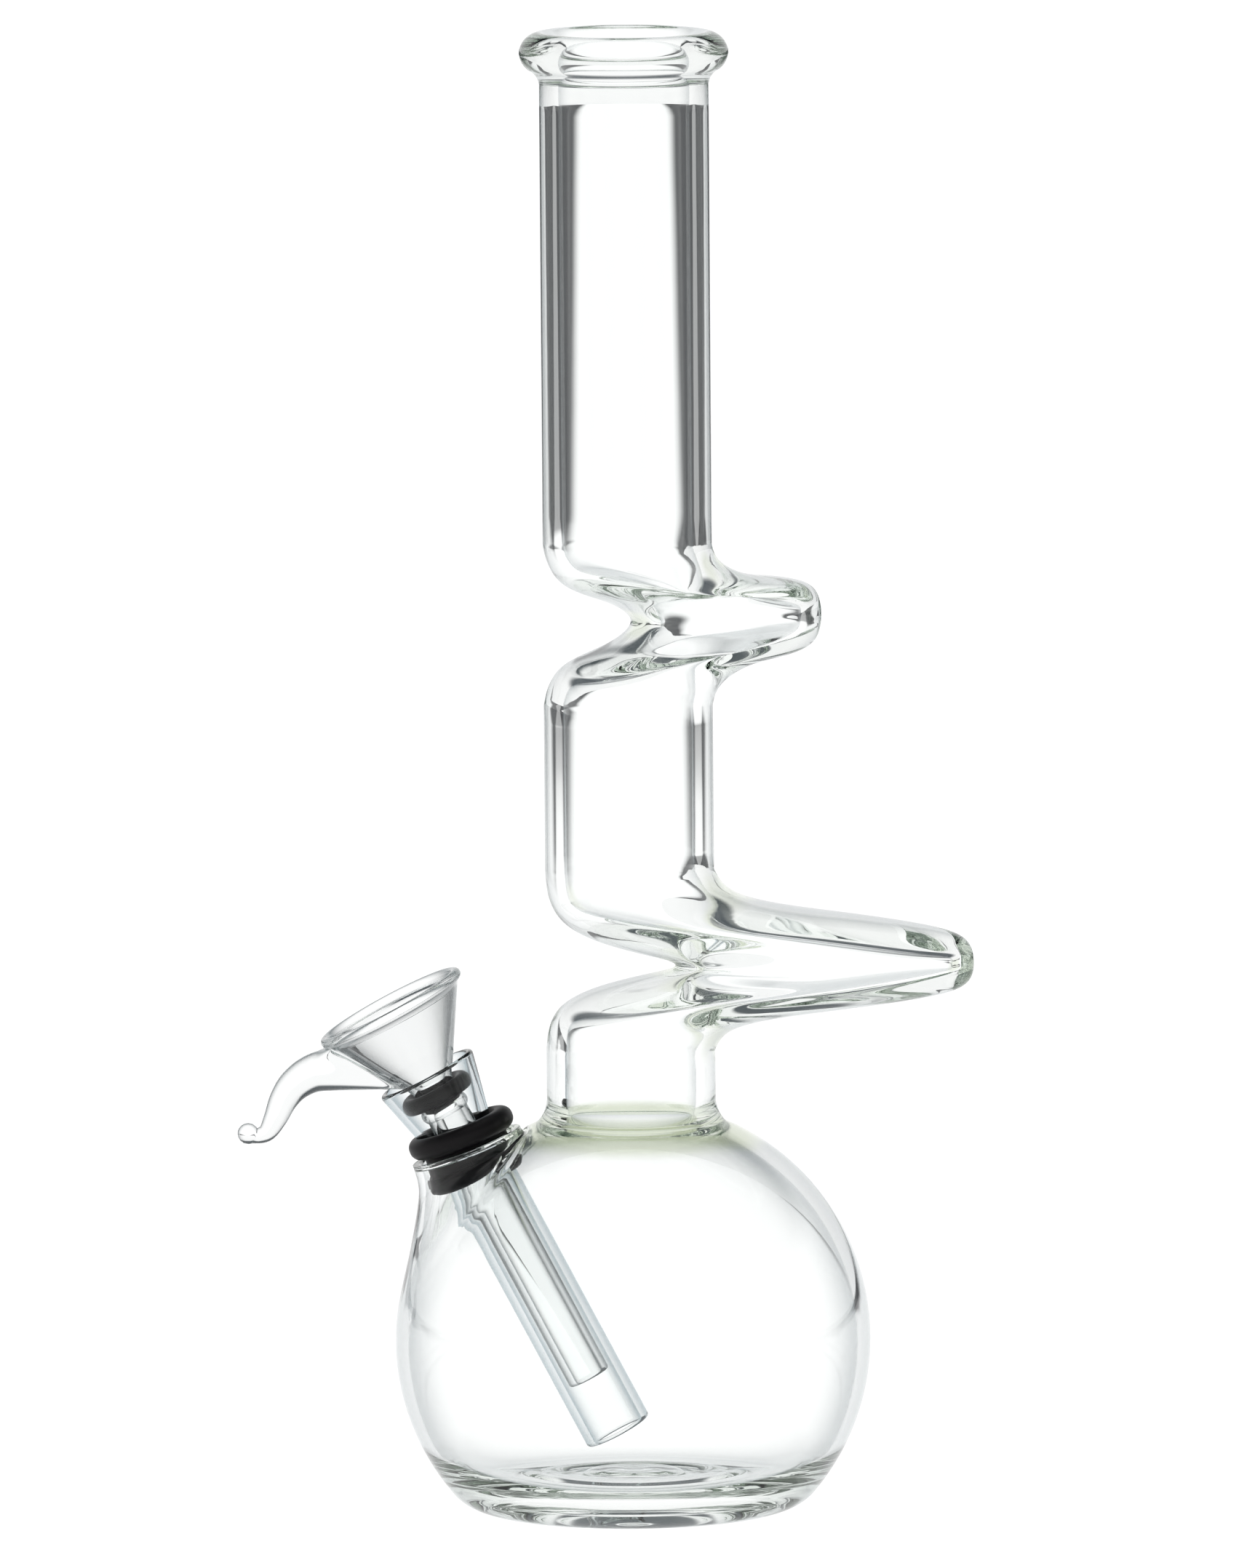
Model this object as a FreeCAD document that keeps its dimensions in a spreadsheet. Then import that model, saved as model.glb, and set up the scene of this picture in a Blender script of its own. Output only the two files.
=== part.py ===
"""Clear glass water pipe with two sideways kinks in its tube, as a parametric document.

Five pieces come apart by hand: the blown vessel, a rubber grommet, a downstem, an O-ring and a
slide bowl. The vessel and the slide are each welded from simpler glass sections, and every
section is a solid of its own that meets its neighbour face to face.

Millimetres. The origin is under the middle of the foot, on the axis of the straight tube, +Z up.
The lower kink points along +X, the stem leans towards -X.
"""

import FreeCAD, Part
import math
import os

import Sketcher

doc = FreeCAD.newDocument("kinked_water_pipe")

# ---------------------------------------------------------------- driving dimensions

SIZES = {
    "total_height": (305.0, "foot to top of lip"),
    "tube_radius": (17.4, "outside of the straight tube"),
    "tube_wall": (4.0, "wall of the straight tube"),
    "lip_radius": (21.5, "outside of the rolled lip"),
    "lip_height": (9.2, "rolled lip, top to bottom"),
    "upper_top": (199.5, "upper kink ends, mouth tube begins"),
    "upper_notch": (183.0, "height of the upper notch"),
    "upper_foot": (166.5, "middle tube ends, upper kink begins"),
    "upper_depth": (2.4, "upper notch, distance past the axis"),
    "upper_reach": (44.6, "tip of the upper kink from the axis"),
    "upper_breadth": (14.6, "half breadth of the upper kink"),
    "upper_turn": (30.0, "upper kink, degrees round from +X"),
    "lower_top": (132.5, "lower kink ends, middle tube begins"),
    "lower_notch": (112.4, "height of the lower notch"),
    "lower_foot": (95.0, "neck ends, lower kink begins"),
    "lower_depth": (9.3, "lower notch, distance past the axis"),
    "lower_reach": (70.7, "tip of the lower kink from the axis"),
    "lower_breadth": (13.6, "half breadth of the lower kink"),
    "kink_wall": (3.4, "wall beside a kink's notch and tip"),
    "notch_wall": (6.0, "folded glass at a notch"),
    "tip_wall": (4.6, "gathered glass at a kink's tip"),
    "neck_flare": (19.5, "radius where the neck meets the globe"),
    "globe_radius": (49.0, "outside of the globe"),
    "globe_height": (35.0, "centre of the globe's outer ball"),
    "bubble_radius": (46.3, "inside of the globe"),
    "bubble_height": (34.3, "centre of the globe's inner ball"),
    "foot_radius": (30.0, "outer edge of the flat foot ring"),
    "punt_radius": (24.5, "inner edge of the flat foot ring"),
    "punt_rise": (3.6, "hollow under the base"),
    "floor_radius": (29.0, "edge of the inner floor"),
    "floor_edge": (5.6, "height of the inner floor's edge"),
    "floor_centre": (7.6, "height of the inner floor's middle"),
    "floor_start": (14.0, "height where the ball turns into the floor"),
    "collar_wall": (2.1, "wall of the stem collar"),
    "hole_radius": (9.9, "clear hole behind the collar's rim"),
    "rim_hole": (9.3, "hole through the collar's rim"),
    "grommet_across": (-33.7, "grommet's middle, along X"),
    "grommet_up": (74.2, "grommet's middle, along Z"),
    "grommet_tilt": (20.5, "grommet's lean from upright"),
    "flange_radius": (11.3, "upper flange of the grommet"),
    "flange_top": (6.2, "top of the upper flange"),
    "flange_foot": (1.8, "bottom of the upper flange"),
    "groove_radius": (8.9, "bottom of the grommet's groove"),
    "bulb_radius": (9.5, "lower flange of the grommet"),
    "bulb_top": (-2.4, "top of the lower flange"),
    "bulb_foot": (-7.0, "bottom of the lower flange"),
    "stem_foot_across": (-3.1, "lower end of the downstem, along X"),
    "stem_foot_up": (15.9, "lower end of the downstem, along Z"),
    "stem_tilt": (27.7, "lean of downstem and slide from upright"),
    "stem_radius": (7.15, "outside of the downstem"),
    "stem_bore": (5.5, "inside of the downstem"),
    "stem_length": (84.3, "downstem, end to end"),
    "funnel_radius": (10.6, "outside of the funnel mouth"),
    "funnel_start": (66.5, "where the funnel leaves the straight tube"),
    "funnel_wall": (1.5, "wall of the funnel"),
    "running_gap": (0.06, "radial clearance of a running fit"),
    "slide_start": (12.9, "lower end of the slide, from the downstem's end"),
    "slide_radius": (4.5, "outside of the slide's tube"),
    "slide_bore": (3.0, "inside of the slide's tube"),
    "maria_radius": (5.2, "glass ring under the O-ring"),
    "ring_place": (79.4, "middle of the O-ring, from the downstem's end"),
    "ring_section": (1.65, "radius of the O-ring's section"),
    "ring_radius": (6.21, "middle line of the O-ring"),
    "cone_start": (81.2, "narrow end of the bowl's cone"),
    "bowl_top": (100.6, "rim of the bowl"),
    "bowl_radius": (16.2, "outside of the bowl's rim"),
    "bowl_wall": (1.5, "wall of the bowl"),
    "horn_root": (4.5, "radius of the horn where it leaves the bowl"),
    "horn_tip": (1.5, "radius of the horn at its curl"),
    "ball_radius": (2.2, "ball at the end of the horn"),
}

sheet = doc.addObject("Spreadsheet::Sheet", "size")
for row, (alias, (number, meaning)) in enumerate(SIZES.items(), 1):
    sheet.set(f"A{row}", meaning)
    sheet.set(f"B{row}", str(number))
    sheet.setAlias(f"B{row}", alias)
doc.recompute()


def value(expression):
    """The number that an expression on the sheet's cells gives."""
    return float(sheet.evalExpression(str(expression)))


def bind(thing, **expressions):
    """Ties properties to expressions, with __ in place of a dot in the property's name."""
    for name, expression in expressions.items():
        thing.setExpression(name.replace("__", "."), str(expression))


# ---------------------------------------------------------------- building tools


def lean(thing, across, up, tilt):
    """Puts a piece at (across, up) in the XZ plane with its own Z leaning towards -X."""
    thing.Placement = FreeCAD.Placement(
        FreeCAD.Vector(value(across), 0, value(up)),
        FreeCAD.Rotation(FreeCAD.Vector(0, -1, 0), value(tilt)),
    )
    bind(thing, Placement__Base__x=across, Placement__Base__z=up)
    bind(thing, Placement__Rotation__Angle=tilt)


def turned(label, outline):
    """A body of revolution about its own Z.

    The outline is a closed list of (radius, height) corners. A third entry makes the edge to the
    next corner an arc of that radius: positive bulges to the left of the way along, negative to
    the right.
    """
    body = doc.addObject("PartDesign::Body", label)
    plane = next(p for p in body.Origin.OriginFeatures if p.Role == "XZ_Plane")
    sketch = body.newObject("Sketcher::SketchObject", label + "_outline")
    sketch.AttachmentSupport = [(plane, "")]
    sketch.MapMode = "FlatFace"

    corners = [FreeCAD.Vector(value(c[0]), value(c[1]), 0) for c in outline]
    ends = []
    for index, corner in enumerate(outline):
        start = corners[index]
        finish = corners[(index + 1) % len(corners)]
        if len(corner) == 2:
            geometry = sketch.addGeometry(Part.LineSegment(start, finish), False)
        else:
            radius = value(corner[2])
            half = (finish - start) * 0.5
            sagitta = abs(radius) - math.sqrt(max(radius**2 - half.Length**2, 0))
            side = FreeCAD.Vector(-half.y, half.x, 0).normalize() * math.copysign(sagitta, radius)
            arc = Part.Arc(start, start + half + side, finish)
            geometry = sketch.addGeometry(arc, False)
            name = f"arc_{index}"
            sketch.addConstraint(Sketcher.Constraint("Radius", geometry, abs(radius)))
            sketch.renameConstraint(sketch.ConstraintCount - 1, name)
            bind(sketch, **{f"Constraints__{name}": f"abs({corner[2]})"})
        first = 1 if sketch.getPoint(geometry, 1).distanceToPoint(start) < 1e-6 else 2
        ends.append((geometry, first, 3 - first))

    for index, (geometry, first, _) in enumerate(ends):
        before, _, last = ends[index - 1]
        sketch.addConstraint(Sketcher.Constraint("Coincident", before, last, geometry, first))
        for kind, at, expression in (
            ("DistanceX", corners[index].x, outline[index][0]),
            ("DistanceY", corners[index].y, outline[index][1]),
        ):
            if abs(at) < 1e-9:
                axis = -2 if kind == "DistanceX" else -1
                sketch.addConstraint(
                    Sketcher.Constraint("PointOnObject", geometry, first, axis)
                )
                continue
            sketch.addConstraint(Sketcher.Constraint(kind, -1, 1, geometry, first, at))
            name = f"{kind.lower()}_{index}"
            sketch.renameConstraint(sketch.ConstraintCount - 1, name)
            bind(sketch, **{f"Constraints__{name}": expression})

    turn = body.newObject("PartDesign::Revolution", label + "_turn")
    turn.Profile = sketch
    turn.ReferenceAxis = (sketch, ["V_Axis"])
    turn.Angle = 360
    body.Tip = turn
    return body


def section(name, near, far, half_breadth):
    """An ellipse across the XZ plane, from the point near to the point far."""
    (near_x, near_z), (far_x, far_z) = near, far
    ellipse = doc.addObject("Part::Ellipse", name)
    along, rise = f"(({far_x}) - ({near_x}))", f"(({far_z}) - ({near_z}))"
    ellipse.MajorRadius = 1000
    bind(ellipse, MinorRadius=half_breadth)
    bind(ellipse, MajorRadius=f"max(sqrt({along}^2 + {rise}^2) / 2; {half_breadth})")
    across, up = f"(({near_x}) + ({far_x})) / 2", f"(({near_z}) + ({far_z})) / 2"
    lean(ellipse, across, up, f"atan2({rise}; {along})")
    return ellipse


def loft(name, sections):
    """A smooth solid through a row of closed sections."""
    skin = doc.addObject("Part::Loft", name)
    skin.Sections = sections
    skin.Solid = True
    skin.Ruled = False
    skin.MaxDegree = 3
    return skin


def cut(label, base, *tools):
    """The base less every tool."""
    tool = tools[0]
    if len(tools) > 1:
        tool = doc.addObject("Part::MultiFuse", label + "_tools")
        tool.Shapes = list(tools)
    result = doc.addObject("Part::Cut", label)
    result.Base = base
    result.Tool = tool
    return result


def fuse(label, *pieces):
    """All pieces as one solid."""
    result = doc.addObject("Part::MultiFuse", label)
    result.Shapes = list(pieces)
    return result


# ---------------------------------------------------------------- straight parts of the vessel

BORE = "(size.tube_radius - size.tube_wall)"

mouth_tube = turned(
    "mouth_tube",
    [
        (BORE, "size.upper_top"),
        ("size.tube_radius", "size.upper_top"),
        ("size.tube_radius", "size.total_height - size.lip_height - 1.5", 4),
        ("size.lip_radius - 1.6", "size.total_height - size.lip_height + 1.6", -5),
        ("size.lip_radius", "size.total_height - 4.4", -4.6),
        ("size.lip_radius - 4.4", "size.total_height", -4.6),
        (BORE, "size.total_height - 4.6"),
    ],
)

middle_tube = turned(
    "middle_tube",
    [
        (BORE, "size.lower_top"),
        ("size.tube_radius", "size.lower_top"),
        ("size.tube_radius", "size.upper_foot"),
        (BORE, "size.upper_foot"),
    ],
)

NECK_FOOT = "(size.globe_height + sqrt(size.globe_radius^2 - size.neck_flare^2))"

neck = turned(
    "neck",
    [
        (BORE, NECK_FOOT),
        ("size.neck_flare", NECK_FOOT, 8),
        ("size.tube_radius", NECK_FOOT + " + 5"),
        ("size.tube_radius", "size.lower_foot"),
        (BORE, "size.lower_foot"),
    ],
)

# ---------------------------------------------------------------- kinks

# Stations from the middle of a kink to its end. Each gives, for the notched side, the share of the
# way in from the tube's wall, the share of the way up and the wall's inward lean in degrees, then
# the same three for the side that is drawn out, then how far the breadth has narrowed.
UPPER_STATIONS = [
    (1.00, 0.00, 0, 1.000, 0.00, 0, 1.00),
    (0.93, 0.12, 25, 0.980, 0.20, 30, 0.97),
    (0.72, 0.26, 50, 0.925, 0.35, 55, 0.88),
    (0.42, 0.38, 60, 0.760, 0.46, 80, 0.66),
    (0.17, 0.53, 40, 0.350, 0.54, 75, 0.33),
    (0.05, 0.76, 15, 0.070, 0.76, 45, 0.10),
    (0.00, 1.00, 0, 0.000, 1.00, 0, 0.00),
]
LOWER_STATIONS = [
    (1.00, 0.000, 0, 1.000, 0.00, 0, 1.00),
    (0.94, 0.055, 40, 0.985, 0.20, 35, 0.97),
    (0.68, 0.140, 70, 0.900, 0.35, 65, 0.88),
    (0.36, 0.270, 66, 0.600, 0.49, 82, 0.65),
    (0.12, 0.460, 42, 0.250, 0.61, 76, 0.35),
    (0.02, 0.720, 12, 0.060, 0.76, 45, 0.10),
    (0.00, 1.000, 0, 0.000, 1.00, 0, 0.00),
]


def kink_section(label, place, station, rise, inside):
    """One section of a kink. rise is the signed height from the notch to the kink's end."""
    notch_in, notch_up, notch_lean, lobe_out, lobe_up, lobe_lean, narrowing = station
    near_x = f"-size.tube_radius + {notch_in} * (size.tube_radius + size.{place}_depth)"
    far_x = f"size.tube_radius + {lobe_out} * (size.{place}_reach - size.tube_radius)"
    near_z, far_z = f"{notch_up} * {rise}", f"{lobe_up} * {rise}"
    breadth = f"size.tube_radius + {narrowing} * (size.{place}_breadth - size.tube_radius)"
    if inside:
        end_wall = "size.tube_wall"
        wall = f"({end_wall} + {narrowing} * (size.kink_wall - {end_wall}))"
        near_wall = f"({wall} + {notch_in} * (size.notch_wall - size.kink_wall))"
        far_wall = f"({wall} + {lobe_out} * (size.tip_wall - size.kink_wall))"
        way = f"({rise} / abs({rise}))"
        near_x += f" + {near_wall} * cos({notch_lean})"
        near_z += f" + {near_wall} * {way} * sin({notch_lean})"
        far_x += f" - {far_wall} * cos({lobe_lean})"
        far_z += f" - {far_wall} * {way} * sin({lobe_lean})"
        breadth += f" - {wall}"
    return section(label, (near_x, near_z), (far_x, far_z), breadth)


def kink(label, place, stations):
    """A tube pushed in on one side and drawn out on the other, hollow all through.

    Both skins run on past the kink's ends as straight tube, and a slab trims them there.
    """
    fall = f"(size.{place}_foot - size.{place}_notch)"
    rise = f"(size.{place}_top - size.{place}_notch)"
    skins = []
    for inside, skin, overrun in ((False, "outer", 1.25), (True, "inner", 1.35)):
        run = [*stations, (0.0, overrun, 0, 0.0, overrun, 0, 0.0)]
        sections = []
        for index in range(len(run) - 1, 0, -1):
            name = f"{label}_{skin}_below_{index}"
            sections.append(kink_section(name, place, run[index], fall, inside))
        for index, station in enumerate(run):
            name = f"{label}_{skin}_above_{index}"
            sections.append(kink_section(name, place, station, rise, inside))
        skins.append(loft(f"{label}_{skin}", sections))
    slab = doc.addObject("Part::Cylinder", label + "_slab")
    bind(slab, Radius=f"size.{place}_reach * 2", Height=f"{rise} - {fall}")
    slab.Placement.Base.z = value(fall)
    bind(slab, Placement__Base__z=fall)
    piece = doc.addObject("Part::Common", label)
    piece.Base = cut(label + "_walls", *skins)
    piece.Tool = slab
    piece.Placement.Base.z = value(f"size.{place}_notch")
    bind(piece, Placement__Base__z=f"size.{place}_notch")
    return piece


upper_kink = kink("upper_kink", "upper", UPPER_STATIONS)
upper_kink.Placement.Rotation = FreeCAD.Rotation(
    FreeCAD.Vector(0, 0, 1), value("size.upper_turn")
)
bind(upper_kink, Placement__Rotation__Angle="size.upper_turn")
lower_kink = kink("lower_kink", "lower", LOWER_STATIONS)

# ---------------------------------------------------------------- globe and stem collar

# The collar's sections run from a low corner on -X to a high corner beside the neck. The first
# one lies in a plane that slices the globe.
COLLAR = [
    ((-48.9, 38.0), (-21.0, 79.27), 24.9),
    ((-45.7, 54.2), (-21.3, 78.4), 17.0),
    ((-44.2, 62.6), (-21.9, 78.0), 12.9),
    ((-44.0, 67.0), (-22.4, 78.4), 11.7),
    ((-45.1, 71.2), (-23.1, 79.5), 11.5),
]

FOOT_ROUND = (
    "((size.globe_radius^2 - size.foot_radius^2 - size.globe_height^2)"
    " / (2 * (size.globe_radius - size.globe_height)))"
)
FOOT_SHARE = f"(size.globe_radius / (size.globe_radius - {FOOT_ROUND}))"
FOOT_TANGENT = (
    f"size.foot_radius * {FOOT_SHARE}",
    f"size.globe_height - (size.globe_height - {FOOT_ROUND}) * {FOOT_SHARE}",
)
CAP_MARGIN = 2.0
RIM_THICKNESS = 1.5
CEILING = f"size.bubble_height + sqrt(size.bubble_radius^2 - {BORE}^2)"
FLOOR_START = "sqrt(size.bubble_radius^2 - (size.bubble_height - size.floor_start)^2)"
PUNT_BALL = "((size.punt_radius^2 + size.punt_rise^2) / (2 * size.punt_rise))"
FLOOR_SWELL = "(size.floor_centre - size.floor_edge)"
FLOOR_BALL = f"((size.floor_radius^2 + {FLOOR_SWELL}^2) / (2 * {FLOOR_SWELL}))"

# Each ball is an arc of more than a quarter turn, so it is drawn as two, through its widest point.
globe_shell = turned(
    "globe_shell",
    [
        ("0", "size.punt_rise"),
        ("0", "size.floor_centre", FLOOR_BALL),
        ("size.floor_radius", "size.floor_edge", "-16"),
        (FLOOR_START, "size.floor_start", "-size.bubble_radius"),
        ("size.bubble_radius", "size.bubble_height", "-size.bubble_radius"),
        (BORE, CEILING),
        (BORE, NECK_FOOT),
        ("size.neck_flare", NECK_FOOT, "size.globe_radius"),
        ("size.globe_radius", "size.globe_height", "size.globe_radius"),
        (*FOOT_TANGENT, FOOT_ROUND),
        ("size.foot_radius", "0"),
        ("size.punt_radius", "0", "-" + PUNT_BALL),
    ],
)

# The cap that comes off stands higher than the globe does beyond the slice.
collar_low, collar_high = COLLAR[0][:2]
slice_cap = doc.addObject("Part::Cylinder", "slice_cap")
slice_cap.Radius = math.dist(collar_low, collar_high) / 2 + CAP_MARGIN
bind(slice_cap, Height="size.globe_radius")
lean(
    slice_cap,
    (collar_low[0] + collar_high[0]) / 2,
    (collar_low[1] + collar_high[1]) / 2,
    math.degrees(math.atan2(collar_high[1] - collar_low[1], collar_high[0] - collar_low[0])),
)

HOLE_DEPTH = 21.5
GROMMET = ("size.grommet_across", "size.grommet_up", "size.grommet_tilt")
stem_hole = doc.addObject("Part::Cylinder", "stem_hole")
bind(stem_hole, Radius="size.hole_radius")
stem_hole.Height = HOLE_DEPTH - RIM_THICKNESS
lean(
    stem_hole,
    f"size.grommet_across + {HOLE_DEPTH} * sin(size.grommet_tilt)",
    f"size.grommet_up - {HOLE_DEPTH} * cos(size.grommet_tilt)",
    "size.grommet_tilt",
)
globe = cut("globe", globe_shell, slice_cap, stem_hole)

FIRST_INSET, FIRST_BREADTH = 6.6, 18.2
outer_collar, inner_collar = [], []
for index, (low, high, breadth) in enumerate(COLLAR):
    outer_collar.append(section(f"collar_outer_{index}", low, high, str(breadth)))
    length = math.dist(low, high)
    way = ((high[0] - low[0]) / length, (high[1] - low[1]) / length)
    if index == 0:
        inset, inner_breadth = FIRST_INSET, FIRST_BREADTH
    elif index == len(COLLAR) - 1:
        inset, inner_breadth = length / 2 - value("size.rim_hole"), "size.rim_hole"
    else:
        inset, inner_breadth = value("size.collar_wall"), f"{breadth} - size.collar_wall"
    inner_low = (low[0] + inset * way[0], low[1] + inset * way[1])
    inner_high = (high[0] - inset * way[0], high[1] - inset * way[1])
    inner_collar.append(section(f"collar_inner_{index}", inner_low, inner_high, inner_breadth))

stem_collar = cut(
    "stem_collar",
    loft("collar_outer", outer_collar),
    loft("collar_inner", inner_collar),
    stem_hole,
)

# ---------------------------------------------------------------- grommet

EDGE = 2.0
grommet_body = turned(
    "grommet_body",
    [
        ("0", "size.bulb_foot"),
        (f"size.bulb_radius - {EDGE}", "size.bulb_foot", f"-{EDGE}"),
        ("size.bulb_radius", f"size.bulb_foot + {EDGE}"),
        ("size.bulb_radius", "size.bulb_top - 0.6"),
        ("size.groove_radius", "size.bulb_top"),
        ("size.groove_radius", "size.flange_foot"),
        (f"size.flange_radius - {EDGE}", "size.flange_foot", f"-{EDGE}"),
        ("size.flange_radius", f"size.flange_foot + {EDGE}"),
        ("size.flange_radius", f"size.flange_top - {EDGE}", f"-{EDGE}"),
        (f"size.flange_radius - {EDGE}", "size.flange_top"),
        ("0", "size.flange_top"),
    ],
)
lean(grommet_body, *GROMMET)

STEM = ("size.stem_foot_across", "size.stem_foot_up", "size.stem_tilt")
grommet_bore = turned(
    "grommet_bore",
    [
        ("0", "0"),
        ("size.stem_radius + size.running_gap", "0"),
        ("size.stem_radius + size.running_gap", "size.funnel_start - 0.4", "40"),
        ("size.stem_radius + size.running_gap + 0.75", "size.funnel_start + 5"),
        ("size.funnel_radius + size.running_gap", "size.stem_length"),
        ("0", "size.stem_length"),
    ],
)
lean(grommet_bore, *STEM)
grommet = cut("grommet", grommet_body, grommet_bore)

# ---------------------------------------------------------------- downstem

FUNNEL_INSIDE = "size.funnel_radius - size.funnel_wall"

downstem = turned(
    "downstem",
    [
        ("size.stem_bore", "0"),
        ("size.stem_radius", "0"),
        ("size.stem_radius", "size.funnel_start", "40"),
        ("size.stem_radius + 0.75", "size.funnel_start + 5.4"),
        ("size.funnel_radius", "size.stem_length"),
        (FUNNEL_INSIDE, "size.stem_length"),
        ("size.stem_bore + 0.55", "size.funnel_start + 4.4", "-40"),
        ("size.stem_bore", "size.funnel_start - 1"),
    ],
)
lean(downstem, *STEM)

# ---------------------------------------------------------------- slide

o_ring = doc.addObject("Part::Torus", "o_ring")
bind(o_ring, Radius1="size.ring_radius", Radius2="size.ring_section")
lean(
    o_ring,
    "size.stem_foot_across - size.ring_place * sin(size.stem_tilt)",
    "size.stem_foot_up + size.ring_place * cos(size.stem_tilt)",
    "size.stem_tilt",
)

MARIA = "size.ring_place - size.ring_section - 1.6"
slide_tube = turned(
    "slide_tube",
    [
        ("size.slide_bore", "size.slide_start"),
        ("size.slide_radius", "size.slide_start"),
        ("size.slide_radius", MARIA + " - 1.4", "-1.6"),
        ("size.maria_radius", MARIA, "-1.6"),
        ("size.slide_radius", MARIA + " + 1.4"),
        ("size.slide_radius", "size.cone_start"),
        ("size.slide_bore", "size.cone_start"),
    ],
)
lean(slide_tube, *STEM)

# The rim bead stands half its thickness outside the cone.
BEAD = 1.1
bowl_cone = turned(
    "bowl_cone",
    [
        ("size.slide_bore", "size.cone_start"),
        ("size.slide_radius", "size.cone_start"),
        (f"size.bowl_radius - {BEAD}", f"size.bowl_top - 2 * {BEAD}", f"-{BEAD}"),
        ("size.bowl_radius", f"size.bowl_top - {BEAD}", f"-{BEAD}"),
        (f"size.bowl_radius - {BEAD}", "size.bowl_top", f"-{BEAD}"),
        (f"size.bowl_radius - 2 * {BEAD}", f"size.bowl_top - {BEAD}"),
        (f"size.bowl_radius - {BEAD} - size.bowl_wall", f"size.bowl_top - 2 * {BEAD} - 0.4"),
        ("size.slide_bore", "size.cone_start + 0.8"),
    ],
)
lean(bowl_cone, *STEM)

# Middle line of the horn in the XZ plane, from inside the bowl's wall to the ball, and the share
# of the way from its root's radius to its tip's.
HORN = [
    (-47.5, 90.2, 0.30),
    (-53.0, 91.0, 0.08),
    (-58.4, 91.5, 0.00),
    (-62.6, 91.2, 0.06),
    (-66.2, 90.2, 0.20),
    (-69.4, 88.0, 0.36),
    (-71.6, 85.0, 0.52),
    (-73.2, 81.4, 0.68),
    (-75.0, 78.4, 0.86),
    (-77.4, 77.4, 1.00),
]

rings = []
for index, (x, z, share) in enumerate(HORN):
    before, after = HORN[max(index - 1, 0)], HORN[min(index + 1, len(HORN) - 1)]
    heading = math.degrees(math.atan2(after[1] - before[1], after[0] - before[0]))
    radius = f"size.horn_root + {share} * (size.horn_tip - size.horn_root)"
    ring = doc.addObject("Part::Circle", f"horn_ring_{index}")
    bind(ring, Radius=radius)
    lean(ring, x, z, heading - 90)
    rings.append(ring)

ball = doc.addObject("Part::Sphere", "horn_ball")
bind(ball, Radius="size.ball_radius")
ball.Placement.Base = FreeCAD.Vector(-78.9, 0, 78.1)
horn_bar = fuse("horn_bar", loft("horn_loft", rings), ball)

bowl_blank = turned(
    "bowl_blank",
    [
        ("0", "size.ring_place"),
        ("size.slide_radius", "size.ring_place"),
        ("size.slide_radius", "size.cone_start"),
        (f"size.bowl_radius - {BEAD}", f"size.bowl_top - 2 * {BEAD}", f"-{BEAD}"),
        ("size.bowl_radius", f"size.bowl_top - {BEAD}", f"-{BEAD}"),
        (f"size.bowl_radius - {BEAD}", "size.bowl_top"),
        ("0", "size.bowl_top"),
    ],
)
lean(bowl_blank, *STEM)
horn_handle = cut("horn_handle", horn_bar, bowl_blank)

# ---------------------------------------------------------------- check and write

doc.recompute()
PIECES = [
    mouth_tube,
    upper_kink,
    middle_tube,
    lower_kink,
    neck,
    globe,
    stem_collar,
    grommet,
    downstem,
    o_ring,
    slide_tube,
    bowl_cone,
    horn_handle,
]
for thing in doc.Objects:
    if "Invalid" in thing.State or "Error" in thing.State:
        raise RuntimeError(f"{thing.Label} failed: {thing.State}")

os.makedirs("parts", exist_ok=True)
for piece in PIECES:
    shape = piece.Shape
    if shape.isNull() or not shape.isValid() or len(shape.Solids) != 1:
        raise RuntimeError(f"{piece.Label} isn't one valid solid ({len(shape.Solids)} solids)")
    shape.exportStep(f"parts/{piece.Label}.step")
    box = shape.BoundBox
    print(f"{piece.Label:12} {shape.Volume:10.0f} mm3  x {box.XMin:6.1f} {box.XMax:6.1f}", end="")
    print(f"  y {box.YMin:6.1f} {box.YMax:6.1f}  z {box.ZMin:6.1f} {box.ZMax:6.1f}")
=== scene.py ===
"""Clear glass water pipe with two sideways kinks in its tube: glass, rubber and a plain studio.

Metres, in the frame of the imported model: the foot stands on z = 0, the straight tube's axis is Z,
the lower kink points along +X and the stem leans towards -X.
"""

import math

import bmesh
import bpy
from mathutils import Matrix, Vector
from mathutils.kdtree import KDTree


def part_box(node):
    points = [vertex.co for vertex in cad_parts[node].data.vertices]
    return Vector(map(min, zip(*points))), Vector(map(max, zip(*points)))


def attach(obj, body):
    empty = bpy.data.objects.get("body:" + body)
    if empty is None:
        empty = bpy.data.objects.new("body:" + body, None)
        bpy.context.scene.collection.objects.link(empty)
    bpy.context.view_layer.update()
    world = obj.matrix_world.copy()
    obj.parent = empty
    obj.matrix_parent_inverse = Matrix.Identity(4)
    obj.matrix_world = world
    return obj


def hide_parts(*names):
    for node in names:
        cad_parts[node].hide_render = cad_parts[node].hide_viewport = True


bl_info = {
    "name": "Kinked Glass Water Pipe",
    "version": (1, 0, 0),
    "blender": (4, 5, 0),
    "location": "3D View > Sidebar > Pipe",
    "description": "Builds a kinked glass water pipe with its downstem, slide bowl and rubbers",
    "category": "Object",
}

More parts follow.
